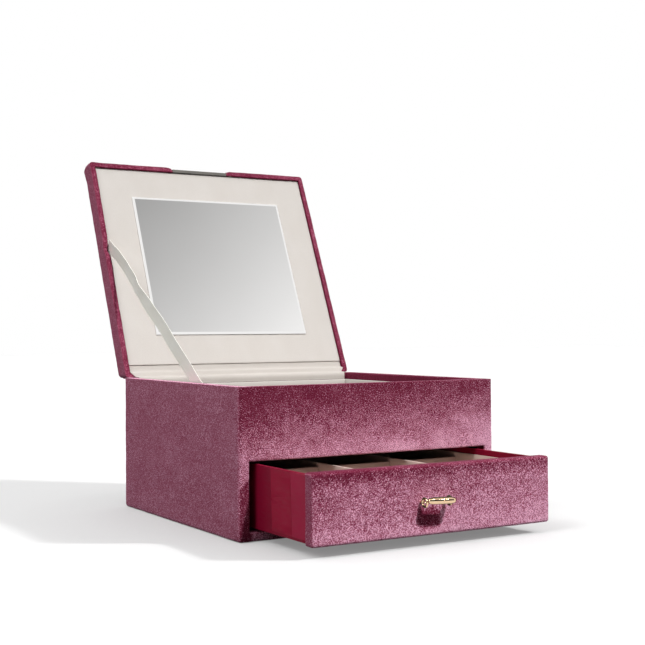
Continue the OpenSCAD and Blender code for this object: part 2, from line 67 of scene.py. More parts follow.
VELVET = base_low.x - case_low.x
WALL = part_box("tray_left_lining")[0].x - case_low.x
OPENING_LEFT = case_low.x + WALL
OPENING_BOTTOM = base_high.z + VELVET
OPENING_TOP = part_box("upper_front_panel")[0].z - VELVET

LID_OPEN = math.radians(114)
HINGE = Vector((0, case_high.y, case_high.z + 0.4 * MM))
# from the closed lid, where its pieces are made, to where the stay holds it up
LID_TURN = Matrix.Rotation(-LID_OPEN, 4, "X")
LID_PLACE = Matrix.Translation(HINGE) @ LID_TURN
LID_HALF_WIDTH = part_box("lid_velvet")[1].x
LID_LENGTH = 246 * MM
LID_THICKNESS = 18 * MM
RIM = 5.5 * MM
RECESS = 2.2 * MM
# how far the velvet reaches past the lid's length, and how far the lid's hinge end leans back
LID_FULLER = 0.9 * MM
LID_LEAN = 7 * MM
# how far from the hinge the ribbon is tied, on the lid and on the case
RIBBON_REACH = 146 * MM
# the keeper bar's left end, once it is cut to length
KEEPER_LEFT = keeper_low.x + 10 * MM
ACROSS = Vector((1, 0, 0))


# ---------------------------------------------------------------- modelling steps


def deselect():
    bpy.ops.object.select_all(action="DESELECT")


def take(piece):
    """Makes one piece the active and only selected one."""
    if bpy.context.mode != "OBJECT":
        bpy.ops.object.mode_set(mode="OBJECT")
    deselect()
    piece.select_set(True)
    bpy.context.view_layer.objects.active = piece


def block(name, low, high):
    """A block between two corners, its object at the origin."""
    deselect()
    low, high = Vector(low), Vector(high)
    bpy.ops.mesh.primitive_cube_add(size=1, location=(low + high) / 2, scale=high - low)
    piece = bpy.context.active_object
    piece.name = name
    bpy.ops.object.transform_apply(location=True, rotation=True, scale=True)
    return piece


def pick(piece, kind, test):
    """Opens a piece in edit mode with only the faces, edges or points that pass a test selected."""
    take(piece)
    bpy.ops.object.mode_set(mode="EDIT")
    bpy.ops.mesh.select_mode(type=kind)
    bpy.ops.mesh.select_all(action="DESELECT")
    mesh = bmesh.from_edit_mesh(piece.data)
    mesh.normal_update()
    parts = {"FACE": mesh.faces, "EDGE": mesh.edges, "VERT": mesh.verts}[kind]
    chosen = [part for part in parts if test(part)]
    for part in chosen:
        part.select_set(True)
    mesh.select_flush_mode()
    bmesh.update_edit_mesh(piece.data)
    return bool(chosen)


def open_whole(piece):
    """Opens a piece in edit mode with all of it selected."""
    take(piece)
    bpy.ops.object.mode_set(mode="EDIT")
    bpy.ops.mesh.select_all(action="SELECT")


def done():
    bpy.ops.object.mode_set(mode="OBJECT")


def middle(edge):
    return (edge.verts[0].co + edge.verts[1].co) / 2


def direction(edge):
    return (edge.verts[1].co - edge.verts[0].co).normalized()


def near(value, target):
    return abs(value - target) < 0.05 * MM


def on_plane(edge, axis, *places):
    """Whether an edge lies across an axis at one of these places."""
    return any(all(near(point.co[axis], place) for point in edge.verts) for place in places)


def bevel_edges(piece, radius, test, steps=3):
    if pick(piece, "EDGE", test):
        bpy.ops.mesh.bevel(offset=radius, segments=steps, profile=0.5, affect="EDGES", clamp_overlap=True)
    done()


def remove_faces(piece, test):
    pick(piece, "FACE", test)
    bpy.ops.mesh.delete(type="FACE")
    done()


def turn_in(piece, test, shift, rim=0):
    """Turns a covering in at the faces that pass a test, with a rim left around them."""
    pick(piece, "FACE", test)
    if rim:
        bpy.ops.mesh.inset(thickness=rim, depth=0)
    bpy.ops.mesh.extrude_region_move(TRANSFORM_OT_translate={"value": shift})
    bpy.ops.mesh.delete(type="FACE")
    done()


def cut(piece, axis, places):
    """Cuts all of a piece's faces at places along an axis."""
    normal = Vector((axis == 0, axis == 1, axis == 2))
    open_whole(piece)
    for place in places:
        bpy.ops.mesh.select_all(action="SELECT")
        bpy.ops.mesh.bisect(plane_co=normal * place, plane_no=normal)
    done()


def cut_off(piece, place, normal):
    """Cuts a solid piece off at a plane, on the side that the normal points to, and closes it."""
    open_whole(piece)
    bpy.ops.mesh.bisect(plane_co=place, plane_no=normal, use_fill=True, clear_outer=True)
    done()


def cells(low, high, count):
    """The middles of equal cells between two places."""
    return [low + (high - low) * (i + 0.5) / count for i in range(count)]


def grid(piece, step, axes=(0, 1, 2)):
    """Cuts a piece into cells of about one step, so that it can be shaped."""
    for axis in axes:
        values = [point.co[axis] for point in piece.data.vertices]
        low, high = min(values), max(values)
        cut(piece, axis, cells(low, high, max(1, round((high - low) / step))))


def apply_modifier(piece, kind, **values):
    take(piece)
    modifier = piece.modifiers.new(kind.title(), kind)
    for key, value in values.items():
        setattr(modifier, key, value)
    bpy.ops.object.modifier_apply(modifier=modifier.name)


def ease(piece, width, steps):
    """Rounds all the sharp edges of a piece."""
    corner = math.radians(50)
    apply_modifier(piece, "BEVEL", width=width, segments=steps, limit_method="ANGLE", angle_limit=corner)


def unevenness(name, size):
    """A cloudy pattern that presses a surface in and out."""
    pattern = bpy.data.textures.new(name, "CLOUDS")
    pattern.noise_scale = size
    pattern.noise_depth = 2
    return pattern


soft_hand = unevenness("soft_hand", 18 * MM)
close_hand = unevenness("close_hand", 5 * MM)


def soften(piece, amount, pattern=soft_hand):
    apply_modifier(piece, "DISPLACE", texture=pattern, texture_coords="LOCAL", strength=amount, mid_level=0.5)


def wrinkle(piece):
    """Gives a velvet covering its unevenness, broad and close."""
    soften(piece, 0.5 * MM)
    soften(piece, 0.35 * MM, close_hand)


def skin(piece, thickness):
    """Gives an open covering its thickness, inwards."""
    apply_modifier(piece, "SOLIDIFY", thickness=thickness, offset=-1)


def plump(piece, factors):
    """Fills a covering out a little, about the origin."""
    take(piece)
    bpy.ops.transform.resize(value=factors)
    bpy.ops.object.transform_apply(location=True, rotation=True, scale=True)


def second_cloth(piece, material, test):
    """Gives the faces that pass a test a second material: the darker velvet that paints shade on turned-in
    faces.
    """
    piece.data.materials.append(material)
    for face in piece.data.polygons:
        if test(face):
            face.material_index = 1


def smooth(piece, angle=40):
    take(piece)
    bpy.ops.object.shade_smooth_by_angle(angle=math.radians(angle))


def place_by(piece, matrix):
    take(piece)
    piece.matrix_world = matrix
    bpy.ops.object.transform_apply(location=True, rotation=True, scale=True)


def facing(place, across, up):
    """The matrix that sets a flat piece at a place, with its X across and its Y up."""
    return Matrix.Translation(place) @ Matrix((across, up, across.cross(up))).transposed().to_4x4()


def raise_lid(piece):
    """Turns a piece made on the closed lid up to where the stay holds the lid."""
    place_by(piece, LID_PLACE)


def raised(x, s, h):
    """A point of the raised lid: x across, s from the hinge along the lid, h in from its rim."""
    return LID_PLACE @ Vector((x, -s, h))


def join(parts, name):
    """Makes one piece of several."""
    deselect()
    for part in parts:
        part.select_set(True)
    bpy.context.view_layer.objects.active = parts[0]
    bpy.ops.object.join()
    parts[0].name = name
    return parts[0]


def copy_node(node, name):
    """A merged copy of a CAD node's mesh, with its flat faces whole."""
    piece = bpy.data.objects.new(name, nodes[node].data.copy())
    bpy.context.scene.collection.objects.link(piece)
    open_whole(piece)
    bpy.ops.mesh.remove_doubles(threshold=0.01 * MM)
    bpy.ops.mesh.dissolve_limited(angle_limit=math.radians(1))
    done()
    piece.data.materials.clear()
    return piece


# ---------------------------------------------------------------- materials


def new_group(name, inputs, outputs):
    """A node group with sockets given as label and kind, and its own input and output nodes."""
    group = bpy.data.node_groups.new(name, "ShaderNodeTree")
    for way, sockets in (("INPUT", inputs), ("OUTPUT", outputs)):
        for label, kind in sockets.items():
            group.interface.new_socket(name=label, in_out=way, socket_type="NodeSocket" + kind)
    return group, group.nodes.new("NodeGroupInput"), group.nodes.new("NodeGroupOutput")


class Wires:
    """Adds nodes to a tree and joins them."""

    def __init__(self, tree):
        self.tree = tree

    def node(self, kind, **values):
        made = self.tree.nodes.new(kind)
        for key, value in values.items():
            setattr(made, key, value)
        return made

    def put(self, socket, value):
        """Joins a socket to another one, or sets its value."""
        if isinstance(value, bpy.types.NodeSocket):
            self.tree.links.new(value, socket)
        else:
            socket.default_value = value

    def fill(self, node, values):
        """Joins or sets the sockets of a node, by label or number."""
        for socket, value in values.items():
            self.put(node.inputs[socket], value)

    def math(self, operation, *values, clamp=False):
        made = self.node("ShaderNodeMath", operation=operation, use_clamp=clamp)
        self.fill(made, dict(enumerate(values)))
        return made.outputs[0]

    def add(self, a, b, clamp=False):
        return self.math("ADD", a, b, clamp=clamp)

    def less(self, a, b):
        return self.math("SUBTRACT", a, b)

    def times(self, a, b):
        return self.math("MULTIPLY", a, b)

    def noise(self, where, scale, detail=2.0, roughness=0.5, distortion=0.0):
        made = self.node("ShaderNodeTexNoise")
        labels = ("Vector", "Scale", "Detail", "Roughness", "Distortion")
        self.fill(made, dict(zip(labels, (where, scale, detail, roughness, distortion))))
        return made.outputs["Fac"]

    def span(self, value, low, high, to_low=0.0, to_high=1.0, clamp=True):
        """Carries a value from one range over to another."""
        made = self.node("ShaderNodeMapRange", clamp=clamp)
        self.fill(made, dict(enumerate((value, low, high, to_low, to_high))))
        return made.outputs[0]

    def blend(self, share, a, b):
        """A colour between two: sockets 6 and 7 are the node's two colours."""
        made = self.node("ShaderNodeMix", data_type="RGBA")
        self.fill(made, {"Factor": share, 6: a, 7: b})
        return made.outputs[2]

    def separate(self, vector):
        """A vector's X, Y and Z."""
        made = self.node("ShaderNodeSeparateXYZ")
        self.put(made.inputs[0], vector)
        return made.outputs

    def stretch(self, where, scale):
        made = self.node("ShaderNodeMapping")
        self.fill(made, {"Vector": where, "Scale": scale})
        return made.outputs[0]

    def bump(self, height, distance):
        made = self.node("ShaderNodeBump")
        self.fill(made, {"Distance": distance, "Strength": 1.0, "Height": height})
        return made.outputs[0]

    def seen_by(self, *rays):
        """1 for these kinds of ray, and 0 for the others."""
        path = self.node("ShaderNodeLightPath")
        seen = path.outputs[rays[0]]
        for ray in rays[1:]:
            seen = self.math("MAXIMUM", seen, path.outputs[ray])
        return seen

    def either(self, share, first, second):
        """The first shader where the share is 0, and the second where it is 1."""
        made = self.node("ShaderNodeMixShader")
        self.fill(made, {0: share, 1: first, 2: second})
        return made.outputs[0]


def new_material(name):
    """A material, its wires, its shader and a point's place in the object."""
    material = bpy.data.materials.new(name)
    material.use_nodes = True
    wires = Wires(material.node_tree)
    where = wires.node("ShaderNodeTexCoord").outputs["Object"]
    return material, wires, material.node_tree.nodes["Principled BSDF"], where


def bare_material(name):
    """A material with no nodes yet."""
    material = bpy.data.materials.new(name)
    material.use_nodes = True
    material.node_tree.nodes.clear()
    return material, Wires(material.node_tree)


def colour(red, green, blue):
    """A colour given as it shows on screen, 0 to 255, made linear for the shader."""

    def linear(value):
        value /= 255
        return value / 12.92 if value <= 0.04045 else ((value + 0.055) / 1.055) ** 2.4

    return (linear(red), linear(green), linear(blue), 1)


def make_velvet_pile():
    """A short crushed pile. Nap runs from 0, brushed flat and deep in colour, to 1, raised and pale."""
    inputs = {
        "Where": "Vector",
        "Nap": "Float",
        "Crush": "Float",
        "Grain": "Float",
        "Deep": "Color",
        "Middle": "Color",
        "Raised": "Color",
    }
    group, pile_in, pile_out = new_group(
        "velvet_pile", inputs, {"Colour": "Color", "Height": "Float", "Roughness": "Float"}
    )
    wires = Wires(group)
    given = pile_in.outputs
    where = given["Where"]

    def about_zero(pattern, most):
        """A pattern that runs from most below zero to most above it."""
        return wires.span(pattern, 0.3, 0.7, -most, most, False)

    patches = wires.noise(wires.stretch(where, (0.6, 0.6, 1)), 48, 2.5, 0.5, 0.5)
    clumps = wires.noise(where, 190, 2, 0.6, 0.3)
    tufts = wires.noise(where, 1100, 1, 0.7)
    fibres = wires.noise(where, 1800, 0, 0.6)
    glints = wires.span(wires.noise(where, 2300, 0, 0.5), 0.62, 0.78, 0, 0.3)
    lie = wires.add(about_zero(patches, 0.26), about_zero(clumps, 0.26))
    nap = wires.add(given["Nap"], wires.times(lie, given["Crush"]))
    specks = wires.add(about_zero(tufts, 0.46), about_zero(fibres, 0.58))
    # dark specks are weaker than light ones
    specks = wires.math("MAXIMUM", specks, wires.times(specks, 0.6))
    specks = wires.add(specks, glints)
    tone = wires.add(nap, wires.times(specks, given["Grain"]), clamp=True)
    darker = wires.blend(wires.span(tone, 0, 0.5), given["Deep"], given["Middle"])
    height = wires.add(wires.times(tufts, 0.7), wires.times(clumps, 0.7))
    wires.fill(pile_out, {
        "Colour": wires.blend(wires.span(tone, 0.5, 1), darker, given["Raised"]),
        "Height": wires.add(height, wires.times(patches, 1.2)),
        "Roughness": wires.span(tone, 0, 1, 0.95, 0.7),
    })
    return group


velvet_pile = make_velvet_pile()
BACK_NAP = 0.36
# on the case's top, the painted highlight of the left rim gives way to the rest's nap between these two
# places
LEFT_RIM = (-0.121, -0.117)


def velvet(
    name,
    nap,
    level,
    brow=None,
    crush=0.5,
    grain=0.85,
    side_nap=0.5,
    side_grain=0.3,
    top_highlight_and_nap=None,
    slant=0,
    beside=None,
    handle_shadow=None,
):
    """A velvet whose nap changes with the height on a front, and lies evenly on the back, sides and top.

    nap and level: the nap at a lower and at an upper level.
    brow: from where to where the nap lies deeper at the top of a front, and how much.
    top_highlight_and_nap: the nap of the left rim, raised pale as a painted highlight, and of the rest of the
    top.
    slant: how much the nap rises per metre towards the right.
    beside: a painted shadow on the strips beside an opening: from x outwards, up to a line that falls
    outwards from z, and how much darker the velvet is there.
    handle_shadow: a painted shadow, a patch of a front below the handle: its middle x and z, its half sizes,
    and how much darker the velvet is there.
    """
    material, wires, shader, where = new_material(name)
    x, _, z = wires.separate(where)
    facing_x, facing_y, facing_z = wires.separate(wires.node("ShaderNodeTexCoord").outputs["Normal"])
    side = wires.span(wires.math("ABSOLUTE", facing_x), 0.5, 0.8)
    lie = wires.span(z, *level, *nap)
    if brow:
        from_z, to_z, deeper = brow
        lie = wires.less(lie, wires.span(z, from_z, to_z, 0, deeper))
    if slant:
        lie = wires.add(lie, wires.times(x, slant))
    # painted shadow: beside the opening the front is darker below a line that falls outwards, where the
    # drawer casts its shadow
    if beside:
        from_x, line_z, deeper = beside
        outwards = wires.less(wires.math("ABSOLUTE", x), from_x)
        under_line = wires.span(wires.add(z, outwards), line_z - MM, line_z + MM, 1, 0)
        strip = wires.times(wires.span(outwards, -MM, 0), under_line)
        strip = wires.times(strip, wires.span(facing_y, -0.9, -0.5, 1, 0))
        lie = wires.less(lie, wires.times(strip, deeper))
    # painted shadow: a darker patch where the handle casts its shadow on the front
    if handle_shadow:
        middle_x, middle_z, half_x, half_z, deeper = handle_shadow

        def within(place, centre, half):
            away = wires.math("ABSOLUTE", wires.less(place, centre))
            return wires.span(away, half - 3 * MM, half + MM, 1, 0)

        patch = wires.times(within(x, middle_x, half_x), within(z, middle_z, half_z))
        lie = wires.less(lie, wires.times(patch, deeper))
    lie = wires.span(wires.span(facing_y, 0.4, 0.8), 0, 1, lie, BACK_NAP)
    lie = wires.span(side, 0, 1, lie, side_nap)
    # painted highlight: the top of the left rim is paler, where it catches the light
    if top_highlight_and_nap:
        lie = wires.span(wires.span(facing_z, 0.5, 0.9), 0, 1, lie, wires.span(x, *LEFT_RIM, *top_highlight_and_nap))
    pile = wires.node("ShaderNodeGroup", node_tree=velvet_pile)
    wires.fill(pile, {
        "Where": where,
        "Nap": lie,
        "Grain": wires.span(side, 0, 1, grain, side_grain),
        "Crush": wires.span(side, 0, 1, crush, crush * 0.3),
        "Deep": colour(96, 22, 46),
        "Middle": colour(156, 75, 100),
        "Raised": colour(234, 178, 204),
    })
    wires.fill(shader, {
        "Base Color": pile.outputs["Colour"],
        "Roughness": pile.outputs["Roughness"],
        "Specular IOR Level": 0.08,
        "Sheen Weight": 0.15,
        "Sheen Roughness": 0.35,
        "Sheen Tint": colour(235, 190, 210),
        "Normal": wires.bump(pile.outputs["Height"], 0.4 * MM),
    })
    return material


def tones(wires, broad, fine):
    """A share from 0 to 1 that follows a broad pattern more than a fine one."""
    return wires.add(wires.span(broad, 0.3, 0.7, 0, 0.6), wires.span(fine, 0.3, 0.7, 0, 0.4))


def suede(name, base, shade, bump=0.12 * MM):
    """A suede-like lining cloth: a fine nap with faint strokes."""
    material, wires, shader, where = new_material(name)
    strokes = wires.noise(wires.stretch(where, (1, 1, 0.35)), 38, 3, 0.55)
    nap = wires.noise(where, 900, 2, 0.6)
    weave = wires.noise(wires.stretch(where, (1, 0.25, 1)), 1600, 1, 0.5)
    wires.fill(shader, {
        "Base Color": wires.blend(tones(wires, strokes, nap), colour(*shade), colour(*base)),
        "Roughness": wires.span(nap, 0.3, 0.7, 0.82, 0.96),
        "Specular IOR Level": 0.12,
        "Sheen Weight": 0.15,
        "Sheen Roughness": 0.5,
        "Normal": wires.bump(wires.add(nap, wires.times(weave, 0.6)), bump),
    })
    return material


def paper(name, base, shade, roughness=0.55, bump=0.06 * MM):
    """Covering paper with a faint pressed grain."""
    material, wires, shader, where = new_material(name)
    cloudy = wires.noise(where, 30, 2, 0.5)
    pressed = wires.noise(wires.stretch(where, (1, 0.3, 1)), 420, 2, 0.5)
    wires.fill(shader, {
        "Base Color": wires.blend(tones(wires, cloudy, pressed), colour(*shade), colour(*base)),
        "Roughness": wires.span(pressed, 0.3, 0.7, roughness - 0.06, roughness + 0.08),
        "Specular IOR Level": 0.15,
        "Normal": wires.bump(pressed, bump),
    })
    return material


def metal(name, base, shade, roughness, along=(1, 1, 1), bare=1.0, gloss=0.5):
    """Metal with faint wear, drawn out along its grain."""
    material, wires, shader, where = new_material(name)
    wear = wires.noise(wires.stretch(where, along), 700, 3, 0.6)
    wires.fill(shader, {
        "Base Color": wires.blend(wires.span(wear, 0.35, 0.65, 0, 1), colour(*shade), colour(*base)),
        "Metallic": bare,
        "Specular IOR Level": gloss,
        "Roughness": wires.span(wear, 0.3, 0.7, roughness, roughness + 0.08),
        "Normal": wires.bump(wear, 0.02 * MM),
    })
    return material


def ribbon_weave(name):
    material, wires, shader, where = new_material(name)
    threads = wires.noise(wires.stretch(where, (1, 0.15, 1)), 2600, 1, 0.5)
    cloudy = wires.noise(where, 60, 2, 0.5)
    wires.fill(shader, {
        "Base Color": wires.blend(
            tones(wires, cloudy, threads), colour(246, 243, 230), colour(252, 250, 242)
        ),
        "Sheen Weight": 0.5,
        "Specular IOR Level": 0.5,
        "Roughness": wires.span(threads, 0.3, 0.7, 0.42, 0.6),
        "Normal": wires.bump(threads, 0.04 * MM),
    })
    return material


def mirror_glass(name):
    material, wires, shader, where = new_material(name)
    haze = wires.noise(where, 14, 2, 0.5)
    wires.fill(shader, {
        "Base Color": wires.blend(haze, colour(238, 237, 236), colour(244, 243, 242)),
        "Metallic": 1.0,
        "Roughness": wires.span(haze, 0.3, 0.7, 0.012, 0.03),
    })
    return material


case_cloth = velvet(
    "case_velvet_cloth",
    nap=(0.68, -0.04),
    level=(0.066, 0.116),
    brow=(0.120, 0.1255, 0.05),
    grain=1.0,
    side_grain=0.5,
    # painted highlight along the top of the left rim
    top_highlight_and_nap=(0.8, 0.16),
    slant=1.4,
    # painted shadow beside the drawer opening, where the drawer casts it on the case's front
    beside=(0.1195, 0.052, 0.6),
)
front_cloth = velvet(
    "drawer_front_velvet_cloth",
    nap=(0.68, 0.42),
    level=(0.012, 0.054),
    brow=(0.053, 0.0635, 0.42),
    crush=0.42,
    grain=0.78,
    side_nap=0.4,
    side_grain=0.4,
    slant=0.8,
    # painted shadow of the handle, below its bail
    handle_shadow=(-0.0085, 0.0225, 0.0115, 0.0085, 0.55),
)
lid_cloth = velvet(
    "lid_velvet_cloth", nap=(0.13, 0.13), level=(0.1, 0.35), crush=0.35, grain=0.5, side_grain=0.25
)
# painted shade: the darkest lie of the velvet, for faces turned into the tray, the drawer opening and the
# lid's recess
turned_shade_cloth = velvet(
    "turned_in_velvet_shade_cloth",
    nap=(0.0, 0.0),
    level=(0, 1),
    crush=0.2,
    grain=0.3,
    side_nap=0.0,
    side_grain=0.2,
)
beige_suede = suede("beige_suede_cloth", (200, 195, 190), (194, 188, 182))
# painted shade: a darker copy of the lining suede, so that the hinge cloth, which faces the light, shows no
# brighter than the lining
hinge_shade_suede = suede("beige_hinge_shaded_cloth", (190, 184, 178), (184, 177, 171))
# painted light: the drawer's linings are a pinker beige, for the red light bounced inside the crimson drawer
drawer_tinted_suede = suede("beige_drawer_bounce_tinted_cloth", (216, 196, 186), (206, 184, 174))
crimson_paper = paper("crimson_covering_paper", (160, 22, 58), (146, 16, 48))
bright_crimson_paper = paper("bright_crimson_paper", (170, 34, 70), (156, 26, 60))
deep_crimson_paper = paper("deep_crimson_paper", (134, 8, 44), (120, 4, 38))
# painted shade: near-black papers for the hollow bay behind the drawer, which lies in shade
bay_shade_paper = paper("bay_lining_paper_painted_shade", (26, 16, 16), (18, 10, 10), roughness=0.8)
base_paper = paper("dark_base_paper", (58, 50, 50), (44, 38, 38), roughness=0.75)
raw_board = paper("raw_greyboard", (150, 138, 128), (128, 118, 110), roughness=0.9, bump=0.1 * MM)
gilt = metal("light_gilt", (236, 206, 172), (228, 194, 156), 0.06)
keeper_steel = metal(
    "dark_keeper_steel", (104, 101, 96), (88, 85, 81), 0.5, along=(0.1, 1, 1), bare=0.0, gloss=0.1
)
magnet_plating = metal("magnet_plating", (200, 200, 204), (180, 180, 184), 0.25)
satin_ribbon = ribbon_weave("satin_ribbon")
silvered_glass = mirror_glass("silvered_glass")
foam = suede("open_foam", (226, 222, 214), (206, 200, 190), bump=0.4 * MM)


def dress(piece, material, body=None, stands_for=()):
    piece.data.materials.clear()
    piece.data.materials.append(material)
    if stands_for:
        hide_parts(*stands_for)
    if body:
        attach(piece, body)
    return piece


# ---------------------------------------------------------------- velvet of the case


def make_case_velvet():
    """The velvet round the case, turned in at the tray and at the drawer opening, and under the foot."""
    right, front, back, top = case_high.x, case_low.y, case_high.y, case_high.z
    inner_x, inner_front, inner_back = right - WALL, front + WALL, back - WALL
    piece = block("case_velvet_cover", case_low, case_high)
    turn_in(piece, lambda f: f.normal.z > 0.9, (0, 0, -15 * MM), WALL)
    # the drawer opening is cut out of the front, and the velvet turned in around it
    for point, normal in (
        ((OPENING_LEFT, 0, 0), (1, 0, 0)),
        ((-OPENING_LEFT, 0, 0), (1, 0, 0)),
        ((0, 0, OPENING_BOTTOM), (0, 0, 1)),
        ((0, 0, OPENING_TOP), (0, 0, 1)),
    ):
        pick(piece, "FACE", lambda f: f.normal.y < -0.9 and f.calc_center_median().y < front + 1 * MM)
        bpy.ops.mesh.bisect(plane_co=point, plane_no=normal)
        done()

    def in_opening(face):
        spot = face.calc_center_median()
        in_front = face.normal.y < -0.9 and near(spot.y, front)
        return in_front and abs(spot.x) < -OPENING_LEFT and OPENING_BOTTOM < spot.z < OPENING_TOP

    turn_in(piece, in_opening, (0, 9 * MM, 0))

    def upright_corner(edge):
        spot = middle(edge)
        at_corner = near(abs(spot.x), right) and (near(spot.y, front) or near(spot.y, back))
        return at_corner and abs(direction(edge).z) > 0.9

    def outer_rim(edge):
        spot = middle(edge)
        return on_plane(edge, 2, top) and (abs(spot.x) > right - 5 * MM or abs(spot.y) > back - 5 * MM)

    def inner_rim(edge):
        inside = on_plane(edge, 0, inner_x, -inner_x) or on_plane(edge, 1, inner_front, inner_back)
        return on_plane(edge, 2, top) and inside

    def mouth(edge):
        spot = middle(edge)
        upright = on_plane(edge, 0, OPENING_LEFT, -OPENING_LEFT)
        upright = upright and OPENING_BOTTOM - MM < spot.z < OPENING_TOP + MM
        level = on_plane(edge, 2, OPENING_BOTTOM, OPENING_TOP) and abs(spot.x) < inner_x
        return on_plane(edge, 1, front) and (upright or level)

    bevel_edges(piece, 3.4 * MM, upright_corner, 4)
    bevel_edges(piece, 2.6 * MM, outer_rim, 4)
    # the velvet goes round the foot of the case, and ends under it
    bevel_edges(piece, 2.8 * MM, lambda e: on_plane(e, 2, case_low.z), 5)
    remove_faces(piece, lambda f: f.normal.z < -0.98 and near(f.calc_center_median().z, case_low.z))
    bevel_edges(piece, 2.0 * MM, inner_rim)
    bevel_edges(piece, 1.3 * MM, mouth)
    grid(piece, 3.2 * MM)
    wrinkle(piece)
    plump(piece, (1.0035, 1.0035, 1.003))
    # the lid presses on the rim, and the case stands on its foot
    for point in piece.data.vertices:
        point.co.z = min(max(point.co.z, case_low.z + 0.05 * MM), top + 0.15 * MM)
    skin(piece, 0.8 * MM)
    smooth(piece)
    dress(piece, case_cloth, "case", ["case_velvet"])

    def turned_in(face):
        x, y, z = abs(face.center.x), face.center.y, face.center.z
        in_tray = x < inner_x + 1.2 * MM and abs(y) < inner_back + 1.2 * MM and z > 100 * MM
        by_drawer = x < inner_x + 1 * MM and z < OPENING_TOP + 3 * MM
        return in_tray or (by_drawer and front + 0.9 * MM < y < front + 12 * MM)

    # painted shade on the faces turned into the tray and the drawer opening
    second_cloth(piece, turned_shade_cloth, turned_in)


# ---------------------------------------------------------------- velvet of the lid


def make_lid_velvet():
    """The velvet of the lid, made on the closed lid: its rim at z = 0 and its hinge end at y = 0."""
    half, length, thick = LID_HALF_WIDTH, LID_LENGTH + LID_FULLER, LID_THICKNESS
    piece = block("lid_velvet_cover", (-half, -length, 0), (half, 0, thick))
    # the end at the hinge leans back, so that it lies level with the case when the lid is up
    pick(piece, "VERT", lambda v: near(v.co.y, 0) and near(v.co.z, thick))
    bpy.ops.transform.translate(value=(0, -LID_LEAN, 0))
    done()
    turn_in(piece, lambda f: f.normal.z < -0.9, (0, 0, 6.0 * MM), RIM)
    bevel_edges(piece, 3.6 * MM, lambda e: abs(direction(e).z) > 0.9 and near(abs(middle(e).x), half), 4)
    bevel_edges(piece, 5.0 * MM, lambda e: on_plane(e, 2, thick) and on_plane(e, 1, -LID_LEAN), 5)
    bevel_edges(piece, 4.2 * MM, lambda e: on_plane(e, 2, thick) and middle(e).y < -8 * MM, 5)
    bevel_edges(piece, 2.2 * MM, lambda e: on_plane(e, 2, 0), 4)
    # the rim is open along the keeper bar
    notch_depth = 4.4 * MM
    notch_left, notch_right = KEEPER_LEFT - 0.3 * MM, keeper_high.x + 0.3 * MM
    cut(piece, 0, [notch_left, notch_right])
    cut(piece, 2, [notch_depth])

    def in_notch(face):
        spot = face.calc_center_median()
        in_rim = spot.y < -length + RIM + 0.5 * MM and spot.z < notch_depth
        return in_rim and notch_left < spot.x < notch_right

    remove_faces(piece, in_notch)
    grid(piece, 3.2 * MM)
    stay = RIBBON_REACH + 1 * MM
    for place, shift, size in (
        # the rim is drawn down where the ribbon passes under it
        ((-half + RIM, -stay, 0.5 * MM), (-0.7 * MM, 0, 0.8 * MM), 15 * MM),
        ((-half + RIM, 5 * MM - stay, 0.5 * MM), (-1.3 * MM, 0, 1.5 * MM), 7 * MM),
        # the folded corner beside the left rim is thicker
        ((-half, -length, 10 * MM), (-2.0 * MM, -1.6 * MM, 0), 17 * MM),
        # the rim's ends beside the keeper bar are rounded off
        ((notch_left, -length + 0.5 * MM, 0.4 * MM), (-0.5 * MM, 0.4 * MM, 1.4 * MM), 4.5 * MM),
        ((notch_right, -length + 0.5 * MM, 0.4 * MM), (0.5 * MM, 0.4 * MM, 1.4 * MM), 4.5 * MM),
    ):
        place = Vector(place)
        reach = min((v.co - place).length for v in piece.data.vertices) + 0.4 * MM
        pick(piece, "VERT", lambda v: (v.co - place).length < reach)
        bpy.ops.transform.translate(
            value=shift,
            use_proportional_edit=True,
            proportional_edit_falloff="SMOOTH",
            proportional_size=size,
        )
        done()
    wrinkle(piece)
    for point in piece.data.vertices:
        point.co.z = max(point.co.z, 0)
    skin(piece, 0.8 * MM)
    smooth(piece)
    dress(piece, lid_cloth, "lid", ["lid_velvet"])
    edge = RIM - 1.1 * MM

    def turned_in(face):
        x, y, z = face.center
        return abs(x) < half - edge and edge - length < y < -edge and z < 8 * MM

    # painted shade on the walls of the lid's recess
    second_cloth(piece, turned_shade_cloth, turned_in)
    raise_lid(piece)


def make_base():
    """The board under the case, its edges eased where the velvet goes round them."""
    piece = copy_node("base_board", "base_board_eased")
    ease(piece, 3.4 * MM, 4)
    smooth(piece)
    dress(piece, base_paper, "case", ["base_board"])


def make_lid_boards():
    """The boards under the lid's leaning end, cut off along it, and the keeper bar in its rim."""
    place = raised(0, 1.3 * MM, 0)
    lean = (LID_TURN @ Vector((0, LID_THICKNESS, LID_LEAN))).normalized()
    for node in ("lid_board", "lid_back_rail", "lid_left_rail", "lid_right_rail"):
        if node == "lid_left_rail":
            # planed a little, where the ribbon draws the velvet down
            outer = -LID_HALF_WIDTH + VELVET
            ends = -LID_LENGTH + VELVET, -VELVET
            piece = block(node + "_trimmed", (outer, ends[0], 2.8 * MM), (outer + 2 * MM, ends[1], 13 * MM))
            raise_lid(piece)
        else:
            piece = copy_node(node, node + "_trimmed")
        cut_off(piece, place, lean)
        dress(piece, raw_board, "lid", [node])
    # the bar ends where the velvet comes round the rim
    piece = copy_node("keeper_bar", "keeper_bar_trimmed")
    cut_off(piece, (KEEPER_LEFT, 0, 0), (-1, 0, 0))
    open_whole(piece)
    bpy.ops.transform.translate(value=LID_TURN @ Vector((0, -LID_FULLER, 0)))
    done()
    dress(piece, keeper_steel, "lid", ["keeper_bar"])


# ---------------------------------------------------------------- drawer front


